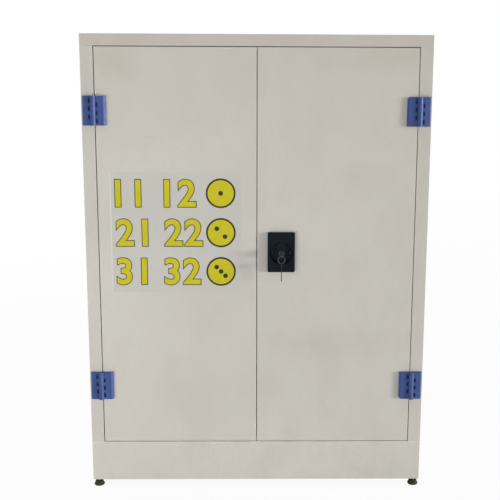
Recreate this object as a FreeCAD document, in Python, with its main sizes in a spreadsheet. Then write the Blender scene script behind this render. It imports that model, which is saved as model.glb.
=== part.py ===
import FreeCAD, Part
import math
import os
import re
import Sketcher

# A two-door chemical storage cupboard welded from polypropylene sheet. It stands on
# four levelling feet, with its front towards -Y. The origin is the middle of the floor
# that it covers. Lengths are millimetres.

doc = FreeCAD.newDocument("two_door_cabinet")

# Every size that can be set by itself.
sizes = {
    # Carcass
    "body_width": 900,
    "body_depth": 450,
    "body_height": 1200,
    "foot_height": 20,
    "sheet": 8,
    "base_sheet": 12,
    "stile_width": 33,
    "rail_height": 30,
    "plinth_height": 110,
    "stop_lap": 9,
    "stop_gap": 0.3,
    "weld_leg": 5,
    # Doors
    "door_gap": 2,
    "door_frame_width": 26,
    "door_frame_depth": 12,
    "edge_chamfer": 0.8,
    # Hinges
    "hinge_height": 75,
    "hinge_inset": 161,
    "hinge_outset": 3,
    "hinge_stand": 9.5,
    "barrel_radius": 7,
    "pin_radius": 2.5,
    "pin_clearance": 0.05,
    "knuckle_end": 6.5,
    "knuckle_gap": 0.3,
    "frame_leaf_reach": 27,
    "door_leaf_reach": 32.5,
    "leaf_notch": 12.2,
    "leaf_end_notch": 7.6,
    "leaf_base": 5,
    "leaf_floor": 2,
    "cover_thickness": 4,
    "cover_rim": 0.6,
    "cover_chamfer": 0.5,
    "frame_cover_slope": 1.5,
    "door_cover_slope": 5.5,
    "cover_corner": 5,
    "hinge_screw_x": 20,
    "hinge_screw_z": 22,
    "hinge_head_radius": 3.8,
    "hinge_head_height": 2.4,
    "shank_radius": 2,
    # Lock plate and turning grip
    "plate_width": 72,
    "plate_height": 106,
    "plate_depth": 10,
    "plate_corner": 4,
    "plate_edge": 1.2,
    "lock_inset": 27.5,
    "dish_radius": 30,
    "dish_depth": 16,
    "dish_floor": 3,
    "dish_drop": 2.5,
    "cup_wall": 3,
    "grip_width": 20,
    "grip_proud": 2,
    "grip_disc": 3,
    "grip_play": 0.4,
    "hub_radius": 12,
    "hub_wall": 2,
    "running_gap": 0.05,
    "plate_screw_x": 30,
    "plate_screw_z": 46,
    "plate_screw_bite": 6,
    # Lock cylinder, keys and ring
    "cylinder_radius": 8,
    "cylinder_proud": 1.5,
    "plug_radius": 5.5,
    "key_stand": 30,
    "bow_radius": 11,
    "bow_hole_radius": 4.5,
    "bow_hole_inset": 6,
    "key_thickness": 2,
    "blade_height": 7,
    "bitting_depth": 2,
    "bitting_pitch": 4,
    "ring_radius": 9,
    "ring_wire": 1,
    "ring_gap": 0.3,
    # Spindle, pinion, rods and lock case
    "spindle_side": 8,
    "spindle_head_radius": 8,
    "spindle_head": 2,
    "pitch_radius": 10,
    "rack_root": 1.6,
    "rack_tip": 1.1,
    "backlash": 0.12,
    "rod_width": 10,
    "rod_thickness": 6,
    "rod_clearance": 0.4,
    "rod_setback": 2,
    "rack_tail": 25,
    "case_width": 72,
    "case_height": 104,
    "case_depth": 14,
    "case_wall": 2,
    "case_head_radius": 4,
    "case_head_height": 2.4,
    "guide_height": 16,
    "guide_wall": 6,
    "guide_near": 180,
    "guide_inset": 107,
    "keeper_width": 30,
    # Slide bolts of the passive door
    "bolt_inset": 46,
    "bolt_radius": 4,
    "bolt_length": 90,
    "bolt_travel": 15,
    "bolt_clearance": 0.1,
    "housing_width": 24,
    "housing_length": 60,
    "housing_inset": 36,
    "knob_inset": 60,
    "knob_stem_radius": 2,
    "knob_head_radius": 4,
    "knob_head_height": 4,
    "knob_rise": 5,
    # Spill trays and their ledges
    "first_tray_rise": 140,
    "tray_pitch": 345,
    "tray_depth": 338,
    "tray_height": 50,
    "tray_wall": 6,
    "tray_side_gap": 2,
    "tray_back_gap": 8,
    "tray_lip": 12,
    "tray_lip_thickness": 5,
    "ledge_width": 24,
    "ledge_thickness": 8,
    "ledge_inset": 60,
    # Levelling feet
    "foot_radius": 14,
    "foot_pad": 6,
    "foot_neck_radius": 11,
    "foot_cone_top": 8.5,
    "foot_edge": 1,
    "foot_hex_radius": 11.5,
    "foot_hex_top": 12.5,
    "stud_radius": 4,
    "stud_rise": 20,
    "socket_width": 20,
    "socket_height": 34,
    "socket_bore": 30,
    # One overrun for every cut that leaves its solid
    "overrun": 2,
}

# Counts and the angle of the rack's flanks.
middle_knuckles_count = 6
tray_count = 3
pinion_teeth_count = 16
rack_teeth_count = 8
rack_ahead_count = 2
bitting_count = 4
flank_steps_count = 5
flank_degrees = 20
hexagon_count = 6

# Places worked out from the sizes. Y runs from the front face to the back.
places = {
    "half_width": "body_width / 2",
    "inner_half": "half_width - sheet",
    "body_bottom": "foot_height",
    "body_top": "foot_height + body_height",
    "floor_top": "body_bottom + base_sheet",
    "front_reach": "plate_depth + grip_proud + cylinder_proud + key_stand"
    " - bow_hole_inset + bow_radius",
    "front_face": "(front_reach - body_depth) / 2",
    "back_face": "front_face + body_depth",
    "back_inside": "back_face - sheet",
    "frame_back": "front_face + sheet",
    "stop_depth": "door_frame_depth + stop_gap",
    "stop_face": "frame_back + stop_depth",
    "stop_back": "stop_face + sheet",
    "rail_bottom": "body_top - rail_height",
    "plinth_top": "body_bottom + plinth_height",
    "door_bottom": "plinth_top + door_gap",
    "door_top": "rail_bottom - door_gap",
    "door_height": "door_top - door_bottom",
    "door_middle": "(door_bottom + door_top) / 2",
    "door_inner": "door_gap / 2",
    "door_outer": "half_width - stile_width - door_gap",
    "door_width": "door_outer - door_inner",
    "hinge_x": "door_outer + door_gap / 2 + hinge_outset",
    "hinge_y": "front_face - hinge_stand",
    "hinge_upper_z": "door_top - hinge_inset",
    "hinge_lower_z": "door_bottom + hinge_inset",
    "leaf_front": "hinge_stand - leaf_base",
    "cover_front": "leaf_front - cover_thickness",
    "cover_edge": "leaf_front - cover_rim",
    "hinge_screw_length": "leaf_base + sheet",
    "knuckle_length": "(hinge_height - 2 * knuckle_end) / middle_knuckles",
    "lock_span": "lock_inset + plate_width / 2",
    "lock_x": "door_inner + lock_span",
    "lock_z": "door_middle - dish_drop",
    "grip_rise": "plate_depth + grip_proud",
    "floor_face": "dish_depth - plate_depth",
    "cup_back": "floor_face + dish_floor",
    "disc_back": "floor_face - ring_gap",
    "disc_front": "disc_back - grip_disc",
    "rod_centre": "sheet + door_frame_depth / 2",
    "rod_y": "front_face + rod_centre",
    "hub_end": "rod_centre - rod_thickness / 2",
    "hub_floor": "hub_end - hub_wall",
    "cylinder_end": "hub_floor - spindle_head",
    "cylinder_rise": "grip_rise + cylinder_proud",
    "case_back": "sheet + case_depth",
    "case_inside": "case_back - case_wall",
    "case_screw_length": "case_head_height + case_back + plate_screw_bite",
    "rod_offset": "pitch_radius + rack_root + rod_width / 2",
    "rod_slot_width": "rod_width + 2 * rod_clearance",
    "rod_slot_depth": "rod_thickness + 2 * rod_clearance",
    "rack_pitch": "2 * pi * pitch_radius / pinion_teeth",
    "rack_half_root": "rack_pitch / 4 - backlash + rack_root * tan(flank)",
    "rack_half_tip": "rack_pitch / 4 - backlash - rack_tip * tan(flank)",
    "upper_rod_length": "door_top - rod_setback - lock_z",
    "lower_rod_length": "lock_z - door_bottom - rod_setback",
    "bolt_x": "-(door_inner + bolt_inset)",
    "keeper_height": "rail_height - sheet",
    "key_y": "front_face - cylinder_rise - key_stand + bow_hole_inset",
    "bow_centre": "bow_radius - bow_hole_inset",
    "blade_end": "key_stand - bow_hole_inset + cylinder_rise + cylinder_end",
    "ring_seat": "bow_hole_radius - ring_wire - ring_gap",
    "ring_z": "lock_z - ring_seat - ring_radius",
    "spare_z": "ring_z - ring_radius - ring_seat",
    "first_tray_z": "body_bottom + first_tray_rise",
    "tray_width": "2 * (inner_half - tray_side_gap)",
    "tray_front": "back_inside - tray_back_gap - tray_depth",
    "ledge_front": "front_face + ledge_inset",
    "ledge_length": "back_inside - weld_leg - ledge_front",
    "foot_x": "half_width - foot_radius",
    "foot_front_y": "(frame_back + stop_face) / 2",
    "foot_back_y": "back_inside - (stop_face - frame_back) / 2",
}

owner = {name: "Sizes." for name in sizes}
owner["pinion_teeth"] = "Counts."
owner["middle_knuckles"] = "Counts."
owner["flank"] = "Counts."


def bound(formula):
    """A formula in plain names, with each name pointed at the sheet that holds it."""
    return re.sub(r"[a-z]\w+", lambda word: owner.get(word[0], "") + word[0], formula)


def fill(sheet_name, cells):
    """A spreadsheet with a name and a value or formula on each row."""
    made = doc.addObject("Spreadsheet::Sheet", sheet_name)
    for row, (name, value) in enumerate(cells.items(), start=1):
        made.set(f"A{row}", name)
        made.set(f"B{row}", str(value))
        made.setAlias(f"B{row}", name)
    return made


size_sheet = fill("Sizes", sizes)
count_sheet = fill("Counts", {"pinion_teeth": pinion_teeth_count,
                              "middle_knuckles": middle_knuckles_count,
                              "flank": flank_degrees})
place_sheet = fill("Places", {name: "=" + bound(text) for name, text in places.items()})
doc.recompute()
owner.update({name: "Places." for name in places})

across = FreeCAD.Vector(1, 0, 0)
inward = FreeCAD.Vector(0, 1, 0)
upward = FreeCAD.Vector(0, 0, 1)
unturned = FreeCAD.Rotation()
half_turn_front = FreeCAD.Rotation(inward, 180)
half_turn_up = FreeCAD.Rotation(upward, 180)
nose_down = FreeCAD.Rotation(across, -90)


def place(thing, x, y, z, turn=unturned):
    """Binds a piece's place to its formulas and sets its turn."""
    thing.Placement = FreeCAD.Placement(FreeCAD.Vector(), turn)
    for axis, formula in zip("xyz", (x, y, z)):
        thing.setExpression("Placement.Base." + axis, bound(formula))


def piece(name, x, y, z, turn=unturned):
    """An empty body at its place."""
    made = doc.addObject("PartDesign::Body", name)
    place(made, x, y, z, turn)
    return made


def rect(left, low, right, high):
    return [(left, low), (right, low), (right, high), (left, high)]


def disc(u, v, radius):
    return (u, v, radius)


def hold(drawn, line, end, u, v):
    """Holds a point of a sketch at its two formulas."""
    for kind, formula in (("DistanceX", u), ("DistanceY", v)):
        number = drawn.addConstraint(Sketcher.Constraint(kind, -1, 1, line, end, 0.0))
        drawn.setExpression(f"Constraints[{number}]", bound(formula))


def draw_disc(drawn, u, v, radius):
    line = drawn.addGeometry(Part.Circle(FreeCAD.Vector(), upward, 1))
    number = drawn.addConstraint(Sketcher.Constraint("Radius", line, 1.0))
    drawn.setExpression(f"Constraints[{number}]", bound(radius))
    hold(drawn, line, 3, u, v)


def draw_outline(drawn, corners):
    """A closed outline of straight lines with each corner held."""
    count = len(corners)
    spread = [2 * math.pi * k / count for k in range(count + 1)]
    dots = [FreeCAD.Vector(math.cos(a), math.sin(a), 0) for a in spread]
    first = drawn.GeometryCount
    for k in range(count):
        drawn.addGeometry(Part.LineSegment(dots[k], dots[k + 1]))
    for k in range(count):
        after = first + (k + 1) % count
        drawn.addConstraint(Sketcher.Constraint("Coincident", first + k, 2, after, 1))
    for k, (u, v) in enumerate(corners):
        hold(drawn, first + k, 1, u, v)


def sketch(body, plane, loops, offset):
    """Loops drawn on one of the body's own planes, moved along its normal."""
    drawn = body.newObject("Sketcher::SketchObject", body.Name + "_sketch")
    origin = body.Origin.OriginFeatures
    drawn.AttachmentSupport = [(next(f for f in origin if f.Role == plane + "_Plane"), "")]
    drawn.MapMode = "FlatFace"
    drawn.setExpression("AttachmentOffset.Base.z", bound(offset))
    for loop in loops:
        if isinstance(loop, tuple):
            draw_disc(drawn, *loop)
        else:
            draw_outline(drawn, loop)
    return drawn


def ends(plane, low, high):
    """The two ends of a feature along the plane's normal, which is -Y on XZ."""
    if plane == "XZ":
        return f"-({high})", f"-({low})"
    return low, high


def pad(body, plane, loops, low, high):
    """Adds the loops' prism from low to high along the axis square to the plane."""
    made = body.newObject("PartDesign::Pad", body.Name + "_pad")
    made.Profile = sketch(body, plane, loops, ends(plane, low, high)[0])
    made.setExpression("Length", bound(f"({high}) - ({low})"))
    return made


def pocket(body, plane, loops, low, high):
    """Cuts the loops' prism from low to high along the axis square to the plane."""
    made = body.newObject("PartDesign::Pocket", body.Name + "_pocket")
    made.Profile = sketch(body, plane, loops, ends(plane, low, high)[1])
    made.setExpression("Length", bound(f"({high}) - ({low})"))
    return made


def edge_names(feature, wanted):
    """Names of the feature's edges that pass a test on their two ends."""
    doc.recompute()
    found = []
    for number, edge in enumerate(feature.Shape.Edges, start=1):
        if wanted(edge.firstVertex(True).Point, edge.lastVertex(True).Point):
            found.append(f"Edge{number}")
    return found


def same(one, other):
    return math.isclose(one, other, abs_tol=1e-4)


def along_y(start, finish):
    return same(start.x, finish.x) and same(start.z, finish.z)


def ease(body, kind, feature, wanted, size):
    """Rounds or bevels the wanted edges of the body's last feature."""
    names = edge_names(feature, wanted)
    made = body.newObject("PartDesign::" + kind, body.Name + "_" + kind.lower())
    made.Base = (feature, names)
    made.setExpression("Radius" if kind == "Fillet" else "Size", bound(size))
    return made


def block(name, x, y, z, width, depth, height):
    """A rectangular piece from its low corner."""
    made = piece(name, x, y, z)
    pad(made, "XY", [rect("0", "0", width, depth)], "0", height)
    return made


def group(name, members):
    """Several separate solids kept under one name."""
    made = doc.addObject("Part::Compound", name)
    made.Links = members
    return made


parts = []


def carcass():
    """Sides, top, floor, back and the front sheets, butt-welded together."""
    depth_behind = "body_depth - sheet"
    parts.append(
        block("side_panel_left", "-half_width", "frame_back", "body_bottom",
              "sheet", depth_behind, "body_height"))
    parts.append(
        block("side_panel_right", "inner_half", "frame_back", "body_bottom",
              "sheet", depth_behind, "body_height"))
    parts.append(
        block("top_panel", "-inner_half", "frame_back", "body_top - sheet",
              "2 * inner_half", depth_behind, "sheet"))
    parts.append(
        block("back_panel", "-inner_half", "back_inside", "floor_top",
              "2 * inner_half", "sheet", "body_height - base_sheet - sheet"))
    parts.append(
        block("top_rail", "-half_width", "front_face", "rail_bottom",
              "body_width", "sheet", "rail_height"))
    parts.append(
        block("plinth_front", "-half_width", "front_face", "body_bottom",
              "body_width", "sheet", "plinth_height"))
    parts.append(
        block("sump_front", "-inner_half", "stop_face", "floor_top",
              "2 * inner_half", "sheet", "door_bottom + stop_lap - floor_top"))
    parts.append(
        block("door_stop", "-inner_half", "stop_face", "door_top - stop_lap",
              "2 * inner_half", "sheet", "body_top - sheet - door_top + stop_lap"))
    floor = piece("bottom_panel", "0", "0", "body_bottom")
    bore = "stud_radius + running_gap"
    holes = [disc(x, y, bore) for x in ("-foot_x", "foot_x") for y in foot_rows]
    outline = rect("-inner_half", "frame_back", "inner_half", "back_face")
    pad(floor, "XY", [outline] + holes, "0", "base_sheet")
    parts.append(floor)


def stiles():
    """The two upright front sheets, drilled for the frame leaves of the hinges."""
    height = "rail_bottom - plinth_top"
    for side, low_x in (("left", "-half_width"), ("right", "door_outer + door_gap")):
        made = piece("stile_" + side, low_x, "front_face", "plinth_top")
        centre = "stile_width + door_gap / 2 - hinge_outset - hinge_screw_x"
        screw_x = centre if side == "left" else f"stile_width - ({centre})"
        holes = [disc(screw_x, z + " - plinth_top", "shank_radius") for z in screw_rows]
        outline = rect("0", "0", "stile_width", height)
        pad(made, "XZ", [outline] + holes, "0", "sheet")
        parts.append(made)


def beads():
    """Triangular welds run by hand along the inside corners."""
    leg = "weld_leg"
    rise = "floor_top + socket_height"
    tall = "body_top - sheet - floor_top - socket_height"
    span = "inner_half - socket_width"
    made = []
    for side, sign in (("left", ""), ("right", "-")):
        x = "-inner_half" if side == "left" else "inner_half"
        corner = [("0", "0"), (f"{sign}({leg})", "0"), ("0", f"-({leg})")]
        bead = piece("back_bead_" + side, x, "back_inside", rise)
        pad(bead, "XY", [corner], "0", tall)
        made.append(bead)
        foot = [("0", "0"), (f"{sign}({leg})", "0"), ("0", leg)]
        bead = piece("floor_bead_" + side, x, "stop_back + weld_leg", "floor_top")
        pad(bead, "XZ", [foot], "0", "back_inside - stop_back - stop_depth - 2 * weld_leg")
        made.append(bead)
        head = [("0", "0"), (f"{sign}({leg})", "0"), ("0", f"-({leg})")]
        bead = piece("top_bead_" + side, x, "stop_back + weld_leg", "body_top - sheet")
        pad(bead, "XZ", [head], "0", "back_inside - stop_back - 2 * weld_leg")
        made.append(bead)
    for name, y, z, reach, rise in (
        ("back_floor_bead", "back_inside", "floor_top", f"-({leg})", leg),
        ("front_floor_bead", "stop_back", "floor_top", leg, leg),
        ("back_top_bead", "back_inside", "body_top - sheet", f"-({leg})", f"-({leg})"),
    ):
        bead = piece(name, "0", y, z)
        profile = [("0", "0"), (reach, "0"), ("0", rise)]
        pad(bead, "YZ", [profile], f"-({span})", span)
        made.append(bead)
    parts.append(group("weld_beads", made))


def corner_cut(made, end):
    """Cuts off the outer corner of a door leaf and its cover at one end."""
    x_outside = "-(door_leaf_reach + overrun)"
    x_inside = "-(door_leaf_reach - cover_corner - overrun)"
    z_outside = f"{end}(hinge_height / 2 + overrun)"
    z_inside = f"{end}(hinge_height / 2 - cover_corner - overrun)"
    corner = [(x_outside, z_inside), (x_inside, z_outside), (x_outside, z_outside)]
    pocket(made, "XZ", [corner], "cover_front - overrun", "hinge_stand + overrun")


def hinge_leaf(name, x, z, turn, owner_side, cut_end):
    """A moulded hinge leaf about the pin's axis: its plate, its own knuckles with
    their webs, and the blind gaps that let the other leaf's knuckles past."""
    made = piece(name, x, "hinge_y", z, turn)
    on_frame = owner_side == "frame"
    sign = "" if on_frame else "-"
    half = "hinge_height / 2"
    knuckle_ends = [f"-{half}"]
    for number in range(middle_knuckles_count + 1):
        knuckle_ends.append(f"{number} * knuckle_length + knuckle_end - {half}")
    knuckle_ends.append(half)
    spans = list(zip(knuckle_ends, knuckle_ends[1:]))
    reach = f"{sign}{owner_side}_leaf_reach"
    plate = rect(f"{sign}leaf_notch", "leaf_front", reach, "hinge_stand")
    pad(made, "XY", [plate], f"-{half}", half)
    floor = rect(f"{sign}knuckle_gap", "hinge_stand - leaf_floor", f"{sign}leaf_notch",
                 "hinge_stand")
    pad(made, "XY", [floor], f"-{half}", half)
    closed = spans[-1] if on_frame else spans[0]
    infill = rect(f"{sign}leaf_end_notch", "cover_front", f"{sign}leaf_notch", "hinge_stand")
    pad(made, "XY", [infill], *closed)
    for low, high in spans[0 if on_frame else 1::2]:
        low = low if low == spans[0][0] else f"{low} + knuckle_gap / 2"
        high = high if high == half else f"{high} - knuckle_gap / 2"
        web = rect("0", "cover_front", f"{sign}leaf_notch", "hinge_stand")
        pad(made, "XY", [web], low, high)
        pad(made, "XY", [disc("0", "0", "barrel_radius")], low, high)
    bore = "pin_radius" if on_frame else "pin_radius + pin_clearance"
    pocket(made, "XY", [disc("0", "0", bore)], f"-{half} - overrun", f"{half} + overrun")
    rows = [f"{way}hinge_screw_z" for way in ("-", "")]
    holes = [disc(f"{sign}hinge_screw_x", row, "shank_radius") for row in rows]
    pocket(made, "XZ", holes, "leaf_front - overrun", "hinge_stand + overrun")
    sinks = [disc(f"{sign}hinge_screw_x", row, "hinge_head_radius") for row in rows]
    pocket(made, "XZ", sinks, "leaf_front - overrun", "leaf_front + hinge_head_height")
    if cut_end is not None and not on_frame:
        corner_cut(made, cut_end)
    return made


def hinge_cover(name, x, z, turn, owner_side, cut_end):
    """The cap that snaps over a leaf's screws and slopes off at its outer edge."""
    made = piece(name, x, "hinge_y", z, turn)
    sign = "" if owner_side == "frame" else "-"
    reach = f"{sign}{owner_side}_leaf_reach"
    crest = f"{sign}({owner_side}_leaf_reach - {owner_side}_cover_slope)"
    profile = [(f"{sign}leaf_notch", "leaf_front"), (f"{sign}leaf_notch", "cover_front"),
               (crest, "cover_front"), (reach, "cover_edge"), (reach, "leaf_front")]
    slab = pad(made, "XY", [profile], "-hinge_height / 2", "hinge_height / 2")
    doc.recompute()
    rim_middle = (place_sheet.get("cover_edge") + place_sheet.get("leaf_front")) / 2
    ease(made, "Chamfer", slab,
         lambda start, finish: same(start.z, finish.z) and max(start.y, finish.y) < rim_middle,
         "cover_chamfer")
    if cut_end is not None and owner_side == "door":
        corner_cut(made, cut_end)
    return made


def screw(name, x, y, z, head_radius, head_height, length, turn=unturned):
    """A screw along +Y from the front of its head."""
    made = piece(name, x, y, z, turn)
    pad(made, "XZ", [disc("0", "0", head_radius)], "0", head_height)
    pad(made, "XZ", [disc("0", "0", "shank_radius")], head_height, length)
    return made


def hinges():
    """Four knuckle hinges. The left pair is the right pair turned over, without the cut
    corner that the right door's leaves have at their far end."""
    frame_covers = []
    frame_screws = []
    pins = []
    for side, x, turn, way in (
        ("left", "-hinge_x", half_turn_front, "-"),
        ("right", "hinge_x", unturned, ""),
    ):
        door_covers = []
        door_screws = []
        for level, far_end in (("upper", ""), ("lower", "-")):
            cut_end = far_end if side == "right" else None
            z = f"hinge_{level}_z"
            ident = f"{level}_{side}"
            on_frame = (x, z, turn, "frame", cut_end)
            on_door = (x, z, turn, "door", cut_end)
            parts.append(hinge_leaf("hinge_frame_leaf_" + ident, *on_frame))
            parts.append(hinge_leaf("hinge_door_leaf_" + ident, *on_door))
            frame_covers.append(hinge_cover("frame_cover_" + ident, *on_frame))
            door_covers.append(hinge_cover("door_cover_" + ident, *on_door))
            pin = piece("pin_" + ident, x, "hinge_y", z)
            half = "hinge_height / 2 - knuckle_gap"
            pad(pin, "XY", [disc("0", "0", "pin_radius")], f"-({half})", half)
            pins.append(pin)
            for row in ("-", "+"):
                at = (f"{z} {row} hinge_screw_z", "hinge_head_radius",
                      "hinge_head_height", "hinge_screw_length")
                y = "hinge_y + leaf_front"
                frame_x = f"{way}(hinge_x + hinge_screw_x)"
                door_x = f"{way}(hinge_x - hinge_screw_x)"
                tag = ident + ("_low" if row == "-" else "_high")
                frame_screws.append(screw("frame_screw_" + tag, frame_x, y, *at))
                door_screws.append(screw("door_screw_" + tag, door_x, y, *at))
        parts.append(group(f"hinge_door_covers_{side}", door_covers))
        parts.append(group(f"hinge_door_screws_{side}", door_screws))
    parts.append(group("hinge_frame_covers", frame_covers))
    parts.append(group("hinge_frame_screws", frame_screws))
    parts.append(group("hinge_pins", pins))


def door(side):
    """A door leaf: the face sheet and the ring of strips welded behind it. Distances
    across it are taken from the edge where the doors meet."""
    left = side == "left"
    low_x = "-door_outer" if left else "door_inner"

    def from_meeting(distance):
        return f"door_width - ({distance})" if left else distance

    skin = piece(f"door_skin_{side}", low_x, "front_face", "door_bottom")
    outline = rect("0", "0", "door_width", "door_height")
    hinge_at = from_meeting("hinge_x - door_inner - hinge_screw_x")
    holes = [disc(hinge_at, row + " - door_bottom", "shank_radius") for row in screw_rows]
    if not left:
        cup = "dish_radius + cup_wall"
        holes.append(disc("lock_span", "lock_z - door_bottom", cup))
        for sway in ("-", "+"):
            for lift in ("-", "+"):
                screw_z = f"door_middle - door_bottom {lift} plate_screw_z"
                holes.append(disc(f"lock_span {sway} plate_screw_x", screw_z, "shank_radius"))
    sheet_face = pad(skin, "XZ", [outline] + holes, "0", "sheet")
    ease(skin, "Chamfer", sheet_face, door_rim, "edge_chamfer")
    parts.append(skin)

    ring = piece(f"door_frame_{side}", low_x, "frame_back", "door_bottom")
    width = "door_frame_width"
    inner = rect(width, width, f"door_width - {width}", f"door_height - {width}")
    pad(ring, "XZ", [outline, inner], "0", "door_frame_depth")
    top = (f"door_height - {width} - overrun", "door_height + overrun")
    bottom = ("-overrun", f"{width} + overrun")
    centre = "door_frame_depth / 2"
    if left:
        hole = disc(from_meeting("bolt_inset"), centre, "bolt_radius + bolt_clearance")
        pocket(ring, "XY", [hole], *top)
        pocket(ring, "XY", [hole], *bottom)
    else:
        for sway, reach in (("-", top), ("+", bottom)):
            at = f"lock_span {sway} rod_offset"
            pocket(ring, "XY", [rod_slot(at, centre)], *reach)
    parts.append(ring)


def door_rim(start, finish):
    """The four outer edges of a face sheet's front."""
    wide = place_sheet.get("door_width")
    tall = place_sheet.get("door_height")
    front = same(start.y, 0) and same(finish.y, 0)
    upright = same(start.x, finish.x) and (same(start.x, 0) or same(start.x, wide))
    level = same(start.z, finish.z) and (same(start.z, 0) or same(start.z, tall))
    return front and (upright or level)


def rod_slot(u, v):
    """The outline of a slot that a rod slides through."""
    half_width = "rod_slot_width / 2"
    half_depth = "rod_slot_depth / 2"
    return rect(f"{u} - {half_width}", f"{v} - {half_depth}",
                f"{u} + {half_width}", f"{v} + {half_depth}")


def lock_plate():
    """The moulded plate on the door's face, with the dish that the grip turns in."""
    made = piece("lock_plate", "lock_x", "front_face", "door_middle")
    half = "plate_width / 2"
    tall = "plate_height / 2"
    slab = pad(made, "XZ", [rect(f"-{half}", f"-{tall}", half, tall)], "-plate_depth", "0")
    corners = ease(made, "Fillet", slab, along_y, "plate_corner")
    front = -size_sheet.get("plate_depth")
    ease(made, "Fillet", corners,
         lambda start, finish: same(start.y, front) and same(finish.y, front), "plate_edge")
    pad(made, "XZ", [disc("0", "-dish_drop", "dish_radius + cup_wall")],
        "-plate_depth / 2", "cup_back")
    pocket(made, "XZ", [disc("0", "-dish_drop", "dish_radius")],
           "-plate_depth - overrun", "floor_face")
    pocket(made, "XZ", [disc("0", "-dish_drop", "hub_radius + running_gap")],
           "floor_face - overrun", "cup_back + overrun")
    holes = [disc(f"{sway}plate_screw_x", f"{lift}plate_screw_z", "shank_radius")
             for sway in ("-", "") for lift in ("-", "")]
    pocket(made, "XZ", holes, "-plate_screw_bite", "overrun")
    parts.append(made)


def turn_grip():
    """The disc in the dish with its upright bar, and the hub that carries the lock."""
    made = piece("turn_grip", "lock_x", "front_face", "lock_z")
    pad(made, "XZ", [disc("0", "0", "dish_radius - grip_play")], "-grip_rise", "disc_back")
    for left, right in (("-dish_radius - overrun", "-grip_width / 2"),
                        ("grip_width / 2", "dish_radius + overrun")):
        side = rect(left, "-dish_radius - overrun", right, "dish_radius + overrun")
        cut = pocket(made, "XZ", [side], "-grip_rise - overrun", "disc_front")
    doc.recompute()
    front = -place_sheet.get("grip_rise")
    ease(made, "Fillet", cut,
         lambda start, finish: same(start.y, front) and same(finish.y, front), "plate_edge")
    pad(made, "XZ", [disc("0", "0", "hub_radius")], "disc_front", "hub_end")
    pocket(made, "XZ", [disc("0", "0", "cylinder_radius")], "-grip_rise - overrun", "hub_floor")
    pocket(made, "XZ", [square_hole()], "hub_floor - overrun", "hub_end + overrun")
    parts.append(made)


def square_hole():
    """The outline of the square spindle."""
    half = "spindle_side / 2"
    return rect(f"-{half}", f"-{half}", half, half)


def lock_cylinder():
    """The cylinder's shell, fixed in the grip, and the plug that the key turns."""
    shell = piece("lock_cylinder", "lock_x", "front_face", "lock_z")
    pad(shell, "XZ", [disc("0", "0", "cylinder_radius"),
                      disc("0", "0", "plug_radius + running_gap")],
        "-cylinder_rise", "cylinder_end")
    plug = piece("lock_plug", "lock_x", "front_face", "lock_z")
    slot = rect("-key_thickness / 2", "-blade_height / 2", "key_thickness / 2",
                "blade_height / 2")
    pad(plug, "XZ", [disc("0", "0", "plug_radius"), slot], "-cylinder_rise", "cylinder_end")
    parts.append(shell)
    parts.append(plug)


def key(name, y, z, turn):
    """A flat key about the hole in its bow, its blade along +Y before it is turned."""
    made = piece(name, "lock_x", y, z, turn)
    thick = ("-key_thickness / 2", "key_thickness / 2")
    pad(made, "YZ", [disc("bow_centre", "0", "bow_radius"),
                     disc("0", "0", "bow_hole_radius")], *thick)
    blade = rect("bow_centre + bow_radius - overrun", "-blade_height / 2", "blade_end",
                 "blade_height / 2")
    pad(made, "YZ", [blade], *thick)
    low = "-blade_height / 2"
    for number in range(1, bitting_count + 1):
        centre = f"blade_end - {number} * bitting_pitch"
        notch = [(f"{centre} - bitting_pitch / 2", low), (centre, f"{low} + bitting_depth"),
                 (f"{centre} + bitting_pitch / 2", low)]
        pocket(made, "YZ", [notch], *thick)
    parts.append(made)


def key_ring():
    """The wire ring through the bows of both keys."""
    made = doc.addObject("Part::Torus", "key_ring")
    made.setExpression("Radius1", bound("ring_radius"))
    made.setExpression("Radius2", bound("ring_wire"))
    place(made, "lock_x", "key_y", "ring_z", nose_down)
    parts.append(made)


def spindle():
    """The square bar from the grip's hub through the pinion to the case."""
    made = piece("spindle", "lock_x", "front_face", "lock_z")
    pad(made, "XZ", [disc("0", "0", "spindle_head_radius")], "cylinder_end", "hub_floor")
    pad(made, "XZ", [square_hole()], "hub_floor", "case_inside - ring_gap")
    pad(made, "XZ", [disc("0", "0", "spindle_side / 2")], "case_inside - ring_gap", "case_back")
    parts.append(made)


def involute(base, radius):
    """The angle that an involute from the base circle has turned at a radius."""
    roll = math.sqrt(max(radius * radius / (base * base) - 1, 0))
    return roll - math.atan(roll)


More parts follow.
